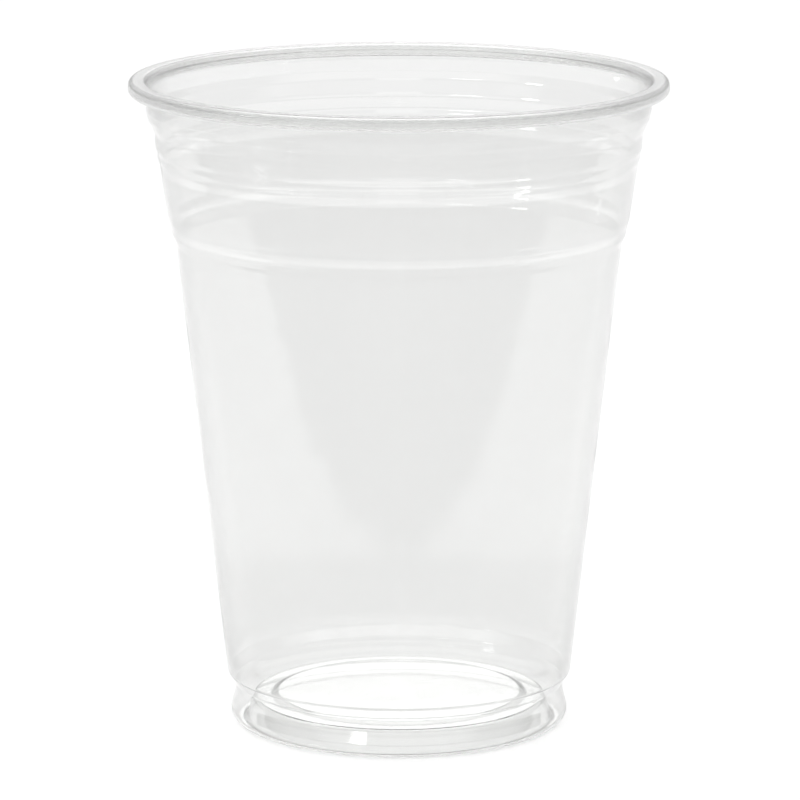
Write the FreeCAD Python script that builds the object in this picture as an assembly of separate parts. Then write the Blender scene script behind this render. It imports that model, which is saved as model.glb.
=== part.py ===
import FreeCAD
import Part
import math
import os

# A clear disposable cup, formed from one sheet of plastic. Millimetres, +Z up.
# The origin is the centre of the ring that it stands on, and the axis of the cup is Z.

# The whole cup
HEIGHT = 119.2           # table to the top of the rolled lip
WALL = 0.3               # thickness of the sheet after forming
BEND = 0.35              # inside radius of the small bends in the rings

# Rolled lip
RIM_RADIUS = 49.0        # outside of the roll, which a lid snaps over
ROLL_WIDTH = 3.4         # from the drinking side of the wall to the outside of the roll
ROLL_HEIGHT = 2.5
ROLL_LAND = 0.6          # upright stretch on the outside of the roll
TUCK_GAP = 0.25          # between the collar and the cut edge tucked inside the roll
TUCK_HEIGHT = 1.3        # how far the cut edge turns back up

# Collar under the lip, and the step inwards below it: depths are below the top of the lip
COLLAR_LEAN = 0.1        # how much narrower the collar is at its foot
COLLAR_DEPTH = 5.2
COLLAR_BEVEL = 0.3       # the collar's slightly sloping foot
COLLAR_BEVEL_HEIGHT = 1.6
COLLAR_STEP = 1.24       # how far the wall steps inwards
COLLAR_STEP_HEIGHT = 2.7
BAND_LEAN = 0.1          # the nearly upright band below the step
BAND_HEIGHT = 2.7

# Upper ring: two small steps with a land between them
UPPER_STEP = 0.32
UPPER_STEP_HEIGHT = 1.0
RING_LAND = 0.9          # height of the land between the two steps of a ring
RING_LAND_LEAN = 0.05

# Sleeve between the rings, with more taper than the body
SLEEVE_TAPER = 0.145     # change of radius for each millimetre of height
SLEEVE_HEIGHT = 10.1

# Lower ring: a small step, a land and a wider step
LOWER_STEP = 0.5
LOWER_STEP_HEIGHT = 1.7
LOWER_FOOT = 0.83
LOWER_FOOT_HEIGHT = 1.9

# Shoulder and waist above the foot: heights are above the table
SHOULDER_RADIUS = 31.7   # lower end of the body's cone
SHOULDER_HEIGHT = 9.4
SHOULDER_BEND = 0.8      # inside radius of the bend into the body
WAIST_DEPTH = 1.4        # how far the waist lies inside the shoulder
WAIST_TOP = 7.3
WAIST_BOTTOM = 5.3
WAIST_BEND = 0.9         # inside radius of the bend above the waist
WAIST_SWEEP = 4.0        # wide bend from the waist into the foot

# Foot that flares out again and rounds under
FOOT_FLARE = 1.35        # how far the foot stands outside the waist
FOOT_BEND = 1.9          # inside radius of the foot's rounding
STAND_INNER = 27.9       # inner edge of the ring that touches the table

# Raised base panel
PANEL_RADIUS = 26.7
PANEL_HEIGHT = 4.2       # underside of the panel above the table
PANEL_BEND = 0.5
DISC_RADIUS = 22.4       # middle of the panel, pressed a little higher
DISC_SLOPE = 1.0         # width of the slope round the middle
DISC_LIFT = 0.5


def base_points():
    """Outside of the base, from the axis to the ring that it stands on."""
    disc_height = PANEL_HEIGHT + DISC_LIFT
    return [
        (0.0, disc_height, 0.0),
        (DISC_RADIUS, disc_height, BEND),
        (DISC_RADIUS + DISC_SLOPE, PANEL_HEIGHT, BEND),
        (PANEL_RADIUS, PANEL_HEIGHT, PANEL_BEND),
        (STAND_INNER, 0.0, PANEL_BEND),
    ]


def foot_points():
    """Outside of the foot, the waist and the shoulder."""
    waist = SHOULDER_RADIUS - WAIST_DEPTH
    return [
        (waist + FOOT_FLARE, 0.0, FOOT_BEND),
        (waist, WAIST_BOTTOM, WAIST_SWEEP),
        (waist, WAIST_TOP, WAIST_BEND),
        (SHOULDER_RADIUS, SHOULDER_HEIGHT, SHOULDER_BEND),
    ]


def ring_points():
    """Outside of the rings, the band and the collar, from the body's cone up to the lip."""
    collar = RIM_RADIUS - ROLL_WIDTH + WALL
    rises = [
        (LOWER_FOOT, LOWER_FOOT_HEIGHT),
        (RING_LAND_LEAN, RING_LAND),
        (LOWER_STEP, LOWER_STEP_HEIGHT),
        (SLEEVE_TAPER * SLEEVE_HEIGHT, SLEEVE_HEIGHT),
        (UPPER_STEP, UPPER_STEP_HEIGHT),
        (RING_LAND_LEAN, RING_LAND),
        (UPPER_STEP, UPPER_STEP_HEIGHT),
        (BAND_LEAN, BAND_HEIGHT),
        (COLLAR_STEP, COLLAR_STEP_HEIGHT),
        (COLLAR_BEVEL, COLLAR_BEVEL_HEIGHT),
    ]
    radius = collar - COLLAR_LEAN
    height = HEIGHT - COLLAR_DEPTH
    points = [(radius, height, BEND)]
    for step, rise in reversed(rises):
        radius -= step
        height -= rise
        points.append((radius, height, BEND))
    return points[::-1]


def roll_points():
    """Hidden side of the rolled lip, round to the cut edge tucked up inside it."""
    collar = RIM_RADIUS - ROLL_WIDTH + WALL
    top = HEIGHT - WALL
    bottom = HEIGHT - ROLL_HEIGHT + WALL
    outside = RIM_RADIUS - WALL
    tuck = collar + TUCK_GAP + WALL
    bend = (ROLL_HEIGHT - ROLL_LAND) / 2 - WALL
    return [
        (collar, top, bend),
        (outside, top, bend),
        (outside, bottom, bend),
        (tuck, bottom, BEND),
        (tuck, bottom - WALL + TUCK_HEIGHT, 0.0),
    ]


def offset_outline(points, gap):
    """Outline moved to its left by a gap. A bend keeps its centre, so its radius changes with the gap."""
    places = [FreeCAD.Vector(radius, 0, height) for radius, height, bend in points]
    runs = [(after - before).normalize() for before, after in zip(places, places[1:])]
    lefts = [FreeCAD.Vector(-run.z, 0, run.x) for run in runs]
    outline = [(places[0] + lefts[0] * gap, 0.0)]
    for i in range(1, len(runs)):
        slide = (lefts[i - 1] + lefts[i]) / (1 + lefts[i - 1].dot(lefts[i]))
        turns_left = runs[i].dot(lefts[i - 1]) > 0
        radius = points[i][2] + (WALL - gap if turns_left else gap)
        outline.append((places[i] + slide * gap, radius))
    outline.append((places[-1] + lefts[-1] * gap, 0.0))
    return outline


def rounded_edges(outline):
    """Straight edges along an outline, with a tangent arc at each of its bends."""
    edges = []
    start = outline[0][0]
    for i in range(1, len(outline) - 1):
        corner, radius = outline[i]
        before = (outline[i - 1][0] - corner).normalize()
        after = (outline[i + 1][0] - corner).normalize()
        half_angle = before.getAngle(after) / 2
        reach = radius / math.tan(half_angle)
        first = corner + before * reach
        last = corner + after * reach
        inward = (before + after).normalize()
        middle = corner + inward * (radius / math.sin(half_angle) - radius)
        edges.append(Part.makeLine(start, first))
        edges.append(Part.Arc(first, middle, last).toShape())
        start = last
    edges.append(Part.makeLine(start, outline[-1][0]))
    return edges


def cup():
    """The formed sheet: both of its faces, closed at the cut edge, turned about the axis."""
    points = base_points() + foot_points() + ring_points() + roll_points()
    outside = offset_outline(points, 0.0)
    inside = offset_outline(points, WALL)
    edges = rounded_edges(outside)
    edges.append(Part.makeLine(outside[-1][0], inside[-1][0]))
    edges += rounded_edges(inside)[::-1]
    edges.append(Part.makeLine(inside[0][0], outside[0][0]))
    section = Part.Face(Part.Wire(edges))
    return section.revolve(FreeCAD.Vector(0, 0, 0), FreeCAD.Vector(0, 0, 1), 360)


os.makedirs("parts", exist_ok=True)
cup().exportStep("parts/cup.step")
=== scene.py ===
import math

import bmesh
import bpy
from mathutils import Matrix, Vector


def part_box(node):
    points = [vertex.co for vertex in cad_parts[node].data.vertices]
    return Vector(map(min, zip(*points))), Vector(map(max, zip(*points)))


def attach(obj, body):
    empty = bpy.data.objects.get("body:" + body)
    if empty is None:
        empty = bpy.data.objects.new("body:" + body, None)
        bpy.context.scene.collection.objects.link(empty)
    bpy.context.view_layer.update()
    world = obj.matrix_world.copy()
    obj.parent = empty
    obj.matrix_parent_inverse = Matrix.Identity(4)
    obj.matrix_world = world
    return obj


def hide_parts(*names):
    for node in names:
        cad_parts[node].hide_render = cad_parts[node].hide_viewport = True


bl_info = {
    "name": "Clear Disposable Cup",
    "version": (1, 0, 0),
    "blender": (4, 5, 0),
    "location": "View3D > Sidebar > Cup",
    "description": "Builds a clear disposable cup with its material, floor, lights and camera",
    "category": "Add Mesh",
}

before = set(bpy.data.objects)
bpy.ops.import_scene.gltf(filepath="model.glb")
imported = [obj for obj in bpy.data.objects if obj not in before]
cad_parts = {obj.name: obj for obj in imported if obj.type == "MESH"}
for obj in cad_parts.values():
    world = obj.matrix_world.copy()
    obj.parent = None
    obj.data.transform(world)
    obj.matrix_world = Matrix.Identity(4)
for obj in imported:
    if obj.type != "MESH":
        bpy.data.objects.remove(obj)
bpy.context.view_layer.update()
CUP_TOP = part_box("cup")[1].z

MM = 0.001

# Formed sheet, with the inside radius of its bends
WALL = 0.3 * MM
BEND = 0.35 * MM         # small bends at the collar's foot and in the lip
RING_BEND = 2.5 * MM     # softer bends in the rings
DISC_BEND = 1.2 * MM     # softer bends round the middle of the base

# Rolled lip
ROLL_WIDTH = 3.4 * MM    # from the drinking side of the wall to the outside of the roll
ROLL_HEIGHT = 2.5 * MM
ROLL_LAND = 0.6 * MM     # upright stretch on the outside of the roll
TUCK_GAP = 0.25 * MM     # between the collar and the cut edge tucked inside the roll
TUCK_HEIGHT = 1.3 * MM

# Collar under the lip
COLLAR_LEAN = 0.1 * MM   # how much narrower the collar is at its foot
COLLAR_DEPTH = 5.2 * MM  # from the top of the lip to the collar's foot

# Rings and band, from the body's cone up to the collar: step outwards, rise, bend above them
SLEEVE_TAPER = 0.145     # change of radius for each unit of height
SLEEVE_HEIGHT = 10.1 * MM
RING_RISES = [
    (0.83 * MM, 1.9 * MM, RING_BEND),    # foot of the lower ring
    (0.05 * MM, 0.9 * MM, RING_BEND),    # land on the lower ring
    (0.5 * MM, 1.7 * MM, RING_BEND),     # upper step of the lower ring
    (SLEEVE_TAPER * SLEEVE_HEIGHT, SLEEVE_HEIGHT, RING_BEND),
    (0.32 * MM, 1.0 * MM, RING_BEND),    # lower step of the upper ring
    (0.05 * MM, 0.9 * MM, RING_BEND),    # land on the upper ring
    (0.32 * MM, 1.0 * MM, RING_BEND),    # upper step of the upper ring
    (0.1 * MM, 2.7 * MM, RING_BEND),     # nearly upright band
    (1.24 * MM, 2.7 * MM, RING_BEND),    # step under the collar
    (0.3 * MM, 1.6 * MM, BEND),          # sloping foot of the collar
]

# Shoulder, waist and foot: heights are above the table
SHOULDER_HEIGHT = 9.4 * MM
SHOULDER_BEND = 0.8 * MM
WAIST_DEPTH = 1.4 * MM   # how far the waist lies inside the shoulder
WAIST_TOP = 7.3 * MM
WAIST_BOTTOM = 5.3 * MM
WAIST_BEND = 0.9 * MM
WAIST_SWEEP = 4.0 * MM   # wide bend from the waist into the foot
FOOT_FLARE = 1.35 * MM   # how far the foot stands outside the waist
FOOT_BEND = 1.9 * MM
STAND_INNER = 27.9 * MM  # inner edge of the ring that touches the table

# Raised base panel
PANEL_RADIUS = 26.7 * MM
PANEL_HEIGHT = 4.2 * MM
PANEL_BEND = 0.5 * MM
DISC_RADIUS = 22.4 * MM  # middle of the panel, pressed a little higher
DISC_SLOPE = 1.0 * MM
DISC_LIFT = 0.5 * MM

# Faces of a rounded corner
BEND_FACE = math.radians(9)
FEWEST_BEND_FACES = 4

# Tints of the wall, each even between two heights in millimetres. Only the body's zones carry the
# plastic's own faint tint; the other zones are painted light at the foot, the middle of the base, the
# waist, the rings, the collar and the lip, and painted shade round the base's raised middle
TINT_AND_PAINTED_LIGHT_ZONES = [
    ((0.0, 3.7), "foot_painted_light"),
    ((4.05, 4.5), "base_painted_shade"),
    ((4.7, 5.1), "foot_painted_light"),
    ((5.4, 9.0), "waist_painted_light"),
    ((12.0, 91.3), "tint"),
    ((91.6, 92.6), "painted_ring_light"),
    ((92.9, 102.6), "tint"),
    ((102.9, 103.8), "painted_ring_light"),
    ((104.1, 115.5), "collar_painted_light"),
    ((116.5, 119.2), "lip_painted_light"),
]
LIP_FADE = (116.0 * MM, 117.0 * MM)
SLANT = (0.55, 1.0)      # where the slant tint begins and is full, from 0 facing to 1 edge on
PLASTIC_IOR = 1.6

# Waviness of the wall, and fine draw lines stretched up it
WAVES = {"Scale": 45.0, "Detail": 2.0}
WAVE_ROUGHNESS = 0.02
LINES = {"Scale": 900.0, "Detail": 3.0}
LINE_STRETCH = (1.0, 1.0, 0.06)
LINE_SHARE = 0.05        # height of the lines beside that of the waves
RELIEF_STRENGTH = 0.12
RELIEF_HEIGHT = 0.4 * MM

# Floor, in metres
FLOOR_REACH = 20.0              # behind the cup and to both sides
FLOOR_FRONT = 2.2               # towards the camera
NEAR_EDGE = (0.122, 0.134)      # distances from the cup between which its tone changes
FAR_EDGE = (0.45, 0.75)
GRAIN = {"Scale": 40.0, "Detail": 2.0}
FLOOR_ROUGHNESS = 0.6
GRAIN_ROUGHNESS = 0.1           # what the grain adds to it

# Light of the room by elevation in degrees: towards the camera, to both sides, behind the cup
ROOM = [
    (0, (0.05, 0.05, 0.4)),
    (6, (0.1, 0.4, 0.3)),
    (12, (1.0, 0.4, 0.8)),
    (20, (0.6, 0.5, 0.8)),
    (30, (0.4, 0.35, 0.8)),
    (45, (0.8, 1.85, 1.4)),
    (60, (2.45, 2.45, 2.15)),
    (90, (0.9, 0.9, 0.9)),
]
OVERHEAD = 90.0
BRIGHTEST = 3.0                 # a ramp's colours stay under 1, so its light is divided by this
SECTOR_EDGE = (0.35, 0.65)      # cosines between which the sides' light turns into front or back

# Soft lamps: azimuth from the camera's side, half width, elevation and half height, all in
# degrees, and strength
LAMPS = {
    "behind": (180.0, 4.0, 14.0, 3.5, 1.3),
    "front": (0.0, 9.0, 28.0, 7.0, 0.6),
    "left": (-33.0, 6.0, 17.0, 1.3, 6.0),
    "far_left": (-68.0, 3.5, 17.0, 2.0, 11.0),
}
LAMP_EDGE = 1.5                 # a lamp has faded out at this many times its half size

# Camera, in metres from the cup, with its lens and sensor in millimetres
CAMERA_PLACE = (0.0002, -0.9427, 0.2550)
CAMERA_DIP = 11.706             # degrees below level
CAMERA_LENS = 236.4
SENSOR_WIDTH = 36.0
CLIP = (0.01, 50.0)
LIGHT_BOUNCES = 24


# Sizes and colours

class CupSizes(bpy.types.PropertyGroup):
    """Sizes of the cup that can be changed from the panel."""

    height: bpy.props.FloatProperty(
        name="Height",
        description="From the table to the top of the rolled lip",
        default=CUP_TOP,
        unit="LENGTH",
    )
    rim_radius: bpy.props.FloatProperty(
        name="Lip radius",
        description="Outside radius of the rolled lip",
        default=49.0 * MM,
        unit="LENGTH",
    )
    shoulder_radius: bpy.props.FloatProperty(
        name="Shoulder radius",
        description="Radius at the lower end of the tapered body",
        default=31.7 * MM,
        unit="LENGTH",
    )
    wall: bpy.props.FloatProperty(
        name="Wall",
        description="Thickness of the formed sheet",
        default=WALL,
        unit="LENGTH",
    )
    steps: bpy.props.IntProperty(
        name="Steps",
        description="Number of faces round the cup",
        default=256,
    )


class CupFinish(bpy.types.PropertyGroup):
    """Colours and finish of the clear plastic and the floor, several of them painted light and shade."""

    tint: bpy.props.FloatVectorProperty(
        name="Tint",
        description="Faint grey tint that light takes on in one wall of the body",
        default=(0.866, 0.868, 0.864),
        size=3,
        subtype="COLOR",
    )
    # Painted light: lighter lines round the two rings, where the rings catch the light
    painted_ring_light: bpy.props.FloatVectorProperty(
        name="Ring tint",
        description="Tint of the lighter lines round the two rings",
        default=(0.95, 0.952, 0.948),
        size=3,
        subtype="COLOR",
    )
    # Painted light: the rolled lip is a little lighter than the body, for how light falls on it
    lip_painted_light: bpy.props.FloatVectorProperty(
        name="Lip tint",
        description="Tint of the rolled lip",
        default=(0.90, 0.902, 0.898),
        size=3,
        subtype="COLOR",
    )
    # Painted light: the collar and the band under the lip are a little lighter than the body, for how
    # light falls there
    collar_painted_light: bpy.props.FloatVectorProperty(
        name="Collar tint",
        description="Tint of the collar and the band under the lip",
        default=(0.895, 0.897, 0.893),
        size=3,
        subtype="COLOR",
    )
    # Painted light: the waist and the shoulder are lighter than the body, for how light falls there
    waist_painted_light: bpy.props.FloatVectorProperty(
        name="Waist tint",
        description="Tint of the waist and the shoulder",
        default=(0.93, 0.932, 0.928),
        size=3,
        subtype="COLOR",
    )
    # Painted shade: the base round its raised middle is darker than the foot and the middle, for the
    # shade under the cup
    base_painted_shade: bpy.props.FloatVectorProperty(
        name="Base tint",
        description="Tint of the base round its raised middle",
        default=(0.92, 0.922, 0.918),
        size=3,
        subtype="COLOR",
    )
    # Painted light: the foot and the middle of the base are the lightest, offsetting the shade that falls
    # under the cup
    foot_painted_light: bpy.props.FloatVectorProperty(
        name="Foot tint",
        description="Tint of the foot and the middle of the base",
        default=(0.96, 0.962, 0.958),
        size=3,
        subtype="COLOR",
    )
    # Partly the longer path through the plastic, partly painted shade that darkens the cup's edges
    slant_absorption_and_painted_shade: bpy.props.FloatVectorProperty(
        name="Slant tint",
        description="Tint where light passes the wall at a slant, through more plastic",
        default=(0.6, 0.6, 0.6),
        size=3,
        subtype="COLOR",
    )
    roughness: bpy.props.FloatProperty(
        name="Roughness",
        description="Roughness of the clear body",
        default=0.02,
        subtype="FACTOR",
    )
    lip_roughness: bpy.props.FloatProperty(
        name="Lip roughness",
        description="How much rougher the rolled lip is than the body",
        default=0.2,
        subtype="FACTOR",
    )
    floor_colour: bpy.props.FloatVectorProperty(
        name="Floor",
        description="Colour of the floor",
        default=(0.82, 0.82, 0.82),
        size=3,
        subtype="COLOR",
    )
    # Painted light: the floor beyond the near edge is lighter, standing in for a backdrop that catches
    # more light
    painted_backdrop_light: bpy.props.FloatVectorProperty(
        name="Backdrop",
        description="Colour of the floor further away from the cup",
        default=(0.86, 0.86, 0.86),
        size=3,
        subtype="COLOR",
    )
    far_colour: bpy.props.FloatVectorProperty(
        name="Far floor",
        description="Colour of the floor well away from the cup",
        default=(0.76, 0.76, 0.76),
        size=3,
        subtype="COLOR",
    )


# Shader maths

class Socket:
    """An output socket whose arithmetic adds Math nodes to its shader."""

    def __init__(self, shader, output):
        self.shader = shader
        self.output = output

    def __add__(self, other):
        return self.shader.maths("ADD", self, other)

    def __sub__(self, other):
        return self.shader.maths("SUBTRACT", self, other)

    def __rsub__(self, other):
        return self.shader.maths("SUBTRACT", other, self)

    def __mul__(self, other):
        return self.shader.maths("MULTIPLY", self, other)

    def __truediv__(self, other):
        return self.shader.maths("DIVIDE", self, other)

    def __neg__(self):
        return self * -1.0

    def __abs__(self):
        return self.shader.maths("ABSOLUTE", self)

    __radd__ = __add__
    __rmul__ = __mul__


class Shader:
    """The node tree of a material or world, filled through two methods: maths and node."""

    def __init__(self, owner):
        self.owner = owner
        owner.use_nodes = True
        self.tree = owner.node_tree
        self.tree.nodes.clear()

    def fill(self, slot, value):
        if isinstance(value, Socket):
            self.tree.links.new(value.output, slot)
        else:
            slot.default_value = value

    def maths(self, operation, *values):
        made = self.tree.nodes.new("ShaderNodeMath")
        made.operation = operation
        for slot, value in zip(made.inputs, values):
            self.fill(slot, value)
        return self.out(made)

    def node(self, kind, settings=None, **values):
        made = self.tree.nodes.new("ShaderNode" + kind)
        for name, setting in (settings or {}).items():
            if name == "ramp":
                self.set_ramp(made.color_ramp, setting)
            else:
                setattr(made, name, setting)
        for name, value in values.items():
            self.fill(made.inputs[name.replace("_", " ")], value)
        return made

    def set_ramp(self, ramp, stops):
        while len(ramp.elements) < len(stops):
            ramp.elements.new(1.0)
        for element, (place, colour) in zip(ramp.elements, stops):
            element.position = place
            element.color = (*colour, 1.0)

    def out(self, node, name=0):
        return Socket(self, node.outputs[name])

    def finish(self, shader_node, output="OutputMaterial"):
        self.node(output, Surface=self.out(shader_node))
        return self.owner


def smooth_step(s, value, low, high):
    """0 below low, 1 above high, with a smooth change between them."""
    settings = {"interpolation_type": "SMOOTHSTEP"}
    return s.out(s.node("MapRange", settings, Value=value, From_Min=low, From_Max=high))


# Materials

def tint_and_painted_light_by_height(s, height, finish):
    """Tint of the wall by its height: the plastic's own faint tint on the body, painted light and shade
    in the other zones.
    """
    stops = []
    for edges, zone in TINT_AND_PAINTED_LIGHT_ZONES:
        stops += [(edge * MM / CUP_TOP, getattr(finish, zone)) for edge in edges]
    return s.out(s.node("ValToRGB", {"ramp": stops}, Fac=height * (1.0 / CUP_TOP)))


def clear_plastic(finish):
    """Clear formed plastic: glossy, with a faint waviness and fine draw lines up the wall."""
    s = Shader(bpy.data.materials.new("clear_plastic"))
    place = s.out(s.node("TexCoord"), "Object")
    height = s.out(s.node("SeparateXYZ", Vector=place), "Z")
    lip = smooth_step(s, height, *LIP_FADE)
    # The wall seen at a slant darkens: partly the longer path through the plastic, partly painted shade
    # along the cup's edges
    facing = s.out(s.node("LayerWeight"), "Facing")
    # Base colour: the wall's tint by height, holding painted light and shade, mixed with the slant's
    # darkening
    tint = s.node(
        "Mix",
        {"data_type": "RGBA"},
        Factor=smooth_step(s, facing, *SLANT) * (1.0 - lip),
        A=tint_and_painted_light_by_height(s, height, finish),
        B=(*finish.slant_absorption_and_painted_shade, 1.0),
    )
    wave = s.out(s.node("TexNoise", Vector=place, **WAVES))
    stretched = s.out(s.node("Mapping", Vector=place, Scale=LINE_STRETCH))
    line = s.out(s.node("TexNoise", Vector=stretched, **LINES))
    relief = (wave + line * LINE_SHARE) * (1.0 - lip)
    bump = s.node("Bump", Strength=RELIEF_STRENGTH, Distance=RELIEF_HEIGHT, Height=relief)
    plastic = s.node(
        "BsdfPrincipled",
        Base_Color=s.out(tint, "Result"),
        Roughness=wave * WAVE_ROUGHNESS + finish.roughness + lip * finish.lip_roughness,
        IOR=PLASTIC_IOR,
        Transmission_Weight=1.0,
        Normal=s.out(bump),
    )
    return s.finish(plastic)


def pale_floor(finish):
    """Plain pale floor whose tone changes a little with the distance from the cup: the lighter ring
    beyond the near edge is painted light, standing in for a brighter-lit backdrop behind the cup.
    """
    s = Shader(bpy.data.materials.new("pale_floor"))
    place = s.out(s.node("TexCoord"), "Object")
    grain = s.out(s.node("TexNoise", Vector=place, **GRAIN))
    reach = s.out(s.node("VectorMath", {"operation": "LENGTH"}, Vector=place), "Value")
    # The lighter tone past the near edge is painted light for a brighter-lit backdrop
    tones = [
        (NEAR_EDGE[0], finish.floor_colour),
        (NEAR_EDGE[1], finish.painted_backdrop_light),
        (FAR_EDGE[0], finish.painted_backdrop_light),
        (FAR_EDGE[1], finish.far_colour),
    ]
    colour = s.node("ValToRGB", {"ramp": tones}, Fac=reach)
    floor = s.node(
        "BsdfPrincipled",
        Base_Color=s.out(colour),
        Roughness=grain * GRAIN_ROUGHNESS + FLOOR_ROUGHNESS,
        Specular_IOR_Level=0.0,
    )
    return s.finish(floor)


# The cup's outline: points of its outside face, each a radius, a height and an inside radius

def base_points():
    """Outside of the base, from the axis to the ring that it stands on."""
    return [
        (0.0, PANEL_HEIGHT + DISC_LIFT, 0.0),
        (DISC_RADIUS, PANEL_HEIGHT + DISC_LIFT, DISC_BEND),
        (DISC_RADIUS + DISC_SLOPE, PANEL_HEIGHT, DISC_BEND),
        (PANEL_RADIUS, PANEL_HEIGHT, PANEL_BEND),
        (STAND_INNER, 0.0, PANEL_BEND),
    ]


def foot_points(sizes):
    """Outside of the foot, the waist and the shoulder."""
    waist = sizes.shoulder_radius - WAIST_DEPTH
    return [
        (waist + FOOT_FLARE, 0.0, FOOT_BEND),
        (waist, WAIST_BOTTOM, WAIST_SWEEP),
        (waist, WAIST_TOP, WAIST_BEND),
        (sizes.shoulder_radius, SHOULDER_HEIGHT, SHOULDER_BEND),
    ]


def ring_points(sizes):
    """Outside of the rings and the band, from the body's cone up to the collar's foot."""
    collar = sizes.rim_radius - ROLL_WIDTH + sizes.wall
    radius = collar - COLLAR_LEAN - sum(step for step, rise, bend in RING_RISES)
    height = sizes.height - COLLAR_DEPTH - sum(rise for step, rise, bend in RING_RISES)
    points = [(radius, height, RING_BEND)]
    for step, rise, bend in RING_RISES:
        radius += step
        height += rise
        points.append((radius, height, bend))
    return points


def roll_points(sizes):
    """Hidden side of the rolled lip, round to the cut edge tucked up inside it."""
    collar = sizes.rim_radius - ROLL_WIDTH + sizes.wall
    outside = sizes.rim_radius - sizes.wall
    top = sizes.height - sizes.wall
    bottom = sizes.height - ROLL_HEIGHT + sizes.wall
    tuck = collar + TUCK_GAP + sizes.wall
    bend = (ROLL_HEIGHT - ROLL_LAND) / 2 - sizes.wall
    return [
        (collar, top, bend),
        (outside, top, bend),
        (outside, bottom, bend),
        (tuck, bottom, BEND),
        (tuck, bottom - sizes.wall + TUCK_HEIGHT, 0.0),
    ]


def offset_outline(points, gap, wall):
    """Outline moved to its left by a gap. A bend keeps its centre, so its radius changes with the gap."""
    places = [Vector((radius, 0.0, height)) for radius, height, bend in points]
    runs = [(after - before).normalized() for before, after in zip(places, places[1:])]
    lefts = [Vector((-run.z, 0.0, run.x)) for run in runs]
    outline = [(places[0] + lefts[0] * gap, 0.0)]
    for i in range(1, len(runs)):
        slide = (lefts[i - 1] + lefts[i]) / (1 + lefts[i - 1].dot(lefts[i]))
        turns_left = runs[i].dot(lefts[i - 1]) > 0
        radius = points[i][2] + (wall - gap if turns_left else gap)
        outline.append((places[i] + slide * gap, radius))
    outline.append((places[-1] + lefts[-1] * gap, 0.0))
    return outline


def add_rounded_outline(bm, outline):
    """Adds the outline as edges and rounds each of its corners with a tangent arc."""
    verts = [bm.verts.new(place) for place, radius in outline]
    for before, after in zip(verts, verts[1:]):
        bm.edges.new((before, after))
    for i in range(1, len(outline) - 1):
        place, radius = outline[i]
        before = outline[i - 1][0] - place
        after = outline[i + 1][0] - place
        turn = math.pi - before.angle(after)
        bmesh.ops.bevel(
            bm,
            geom=[verts[i]],
            offset=radius * math.tan(turn / 2),
            offset_type="OFFSET",
            segments=max(FEWEST_BEND_FACES, round(turn / BEND_FACE)),
            profile=0.5,
            affect="VERTICES",
            material=-1,
        )


def new_piece(name, bm, material, smooth=True):
    """Object at the origin made from a bmesh, with one material."""
    mesh = bpy.data.meshes.new(name)
    bm.to_mesh(mesh)
    bm.free()
    if smooth:
        mesh.shade_smooth()
    mesh.materials.append(material)
    piece = bpy.data.objects.new(name, mesh)
    bpy.context.scene.collection.objects.link(piece)
    return piece


# Light and camera

def room_light(s, ahead, lift):
    """Light of the room by elevation, with a soft change between its front, its sides and its back."""
    stops = [(angle / OVERHEAD, [value / BRIGHTEST for value in light]) for angle, light in ROOM]
    ramp = s.out(s.node("ValToRGB", {"ramp": stops}, Fac=lift * (1.0 / OVERHEAD)))
    light = s.node("SeparateColor", Color=ramp)
    front, side, back = (s.out(light, part) for part in ("Red", "Green", "Blue"))
    near = smooth_step(s, -ahead, *SECTOR_EDGE)
    far = smooth_step(s, ahead, *SECTOR_EDGE)
    return (side + (front - side) * near + (back - side) * far) * BRIGHTEST


def lamp(s, flat, lift, azimuth, width, elevation, height):
    """1 where a level direction and its lift point at the lamp, fading to 0 past the lamp's rim."""
    around = math.radians(azimuth)
    facing = flat[0] * math.sin(around) - flat[1] * math.cos(around)
    edge = (math.cos(math.radians(width * LAMP_EDGE)), math.cos(math.radians(width)))
    aside = abs(lift - elevation)
    return smooth_step(s, facing, *edge) * (1.0 - smooth_step(s, aside, height, height * LAMP_EDGE))


def add_world():
    """Room whose soft light changes with elevation and from side to side, with a few soft lamps."""
    s = Shader(bpy.data.worlds.new("room"))
    split = s.node("SeparateXYZ", Vector=s.out(s.node("TexCoord"), "Generated"))
    x, y, z = (s.out(split, axis) for axis in "XYZ")
    level = s.maths("SQRT", x * x + y * y)
    flat = (x / level, y / level)
    lift = s.maths("ARCSINE", z) * math.degrees(1.0)
    total = room_light(s, flat[1], lift)
    for *aim, strength in LAMPS.values():
        total = total + lamp(s, flat, lift, *aim) * strength
    background = s.node("Background", Color=(1.0, 1.0, 1.0, 1.0), Strength=total)
    bpy.context.scene.world = s.finish(background, "OutputWorld")


def add_camera():
    """Camera in front of the cup, looking a little down at it."""
    data = bpy.data.cameras.new("camera")
    data.lens = CAMERA_LENS
    data.sensor_width = SENSOR_WIDTH
    data.clip_start, data.clip_end = CLIP
    camera = bpy.data.objects.new("camera", data)
    camera.location = CAMERA_PLACE
    camera.rotation_euler = (math.radians(90 - CAMERA_DIP), 0.0, 0.0)
    scene = bpy.context.scene
    scene.collection.objects.link(camera)
    scene.camera = camera


def set_render():
    """Plain tones, and enough bounces of light for all the walls that it passes."""
    scene = bpy.context.scene
    scene.view_settings.view_transform = "Standard"
    scene.view_settings.exposure = 0.0
    scene.cycles.blur_glossy = 0.0
    scene.cycles.max_bounces = LIGHT_BOUNCES
    scene.cycles.transmission_bounces = LIGHT_BOUNCES
    scene.cycles.glossy_bounces = LIGHT_BOUNCES


# Operators and panel

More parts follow.
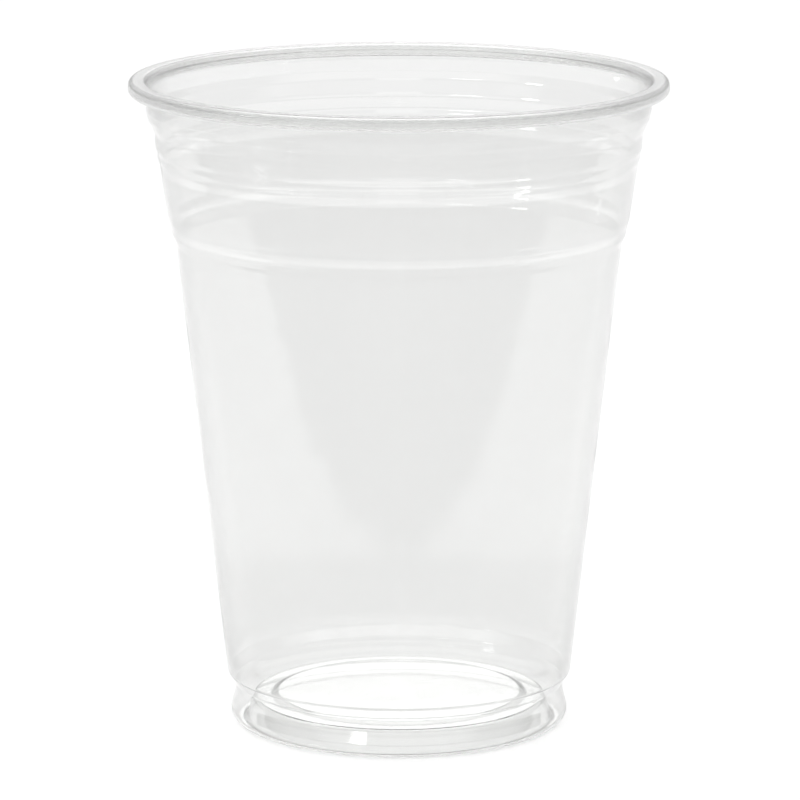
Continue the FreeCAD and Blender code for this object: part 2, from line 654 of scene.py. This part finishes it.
class CUP_OT_shell(bpy.types.Operator):
    """Turn the formed sheet's outline about the axis and give it its wall"""

    bl_idname = "cup.shell"
    bl_label = "Clear cup"

    def execute(self, context):
        sizes = context.scene.cup_sizes
        points = base_points() + foot_points(sizes) + ring_points(sizes) + roll_points(sizes)
        bm = bmesh.new()
        for gap in (0.0, sizes.wall):
            add_rounded_outline(bm, offset_outline(points, gap, sizes.wall))
        cut_edge = [v for v in bm.verts if len(v.link_edges) == 1 and v.co.x > MM]
        bm.edges.new(cut_edge)
        bmesh.ops.spin(
            bm,
            geom=bm.verts[:] + bm.edges[:],
            cent=(0.0, 0.0, 0.0),
            axis=(0.0, 0.0, 1.0),
            angle=math.tau,
            steps=sizes.steps,
            use_merge=True,
        )
        bmesh.ops.remove_doubles(bm, verts=bm.verts[:], dist=0.001 * MM)
        bmesh.ops.recalc_face_normals(bm, faces=bm.faces[:])
        piece = new_piece("clear_cup", bm, clear_plastic(context.scene.cup_finish))
        normals = piece.modifiers.new("normals", "WEIGHTED_NORMAL")
        normals.mode = "FACE_AREA"
        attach(piece, "root")
        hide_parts("cup")
        return {"FINISHED"}


class CUP_OT_stage(bpy.types.Operator):
    """Add the plain floor, the soft lights and the camera"""

    bl_idname = "cup.stage"
    bl_label = "Floor, lights and camera"

    def execute(self, context):
        bm = bmesh.new()
        bmesh.ops.create_grid(bm, size=FLOOR_REACH)
        near = [v for v in bm.verts if v.co.y < 0.0]
        bmesh.ops.translate(bm, verts=near, vec=(0.0, FLOOR_REACH - FLOOR_FRONT, 0.0))
        floor = new_piece("floor", bm, pale_floor(context.scene.cup_finish), smooth=False)
        add_world()
        add_camera()
        set_render()
        return {"FINISHED"}


class CUP_PT_panel(bpy.types.Panel):
    """Lists the cup's sizes, finish and operators in the sidebar"""

    bl_idname = "CUP_PT_panel"
    bl_label = "Clear Disposable Cup"
    bl_space_type = "VIEW_3D"
    bl_region_type = "UI"
    bl_category = "Cup"

    def draw(self, context):
        layout = self.layout
        for group in (context.scene.cup_sizes, context.scene.cup_finish):
            for name in group.__annotations__:
                layout.prop(group, name)
        for operator in (CUP_OT_shell, CUP_OT_stage):
            layout.operator(operator.bl_idname)


CLASSES = (CupSizes, CupFinish, CUP_OT_shell, CUP_OT_stage, CUP_PT_panel)


def register():
    for cls in CLASSES:
        bpy.utils.register_class(cls)
    bpy.types.Scene.cup_sizes = bpy.props.PointerProperty(type=CupSizes)
    bpy.types.Scene.cup_finish = bpy.props.PointerProperty(type=CupFinish)


def unregister():
    del bpy.types.Scene.cup_finish
    del bpy.types.Scene.cup_sizes
    for cls in reversed(CLASSES):
        bpy.utils.unregister_class(cls)


def main():
    register()
    bpy.ops.cup.shell()
    bpy.ops.cup.stage()


if __name__ == "__main__":
    main()
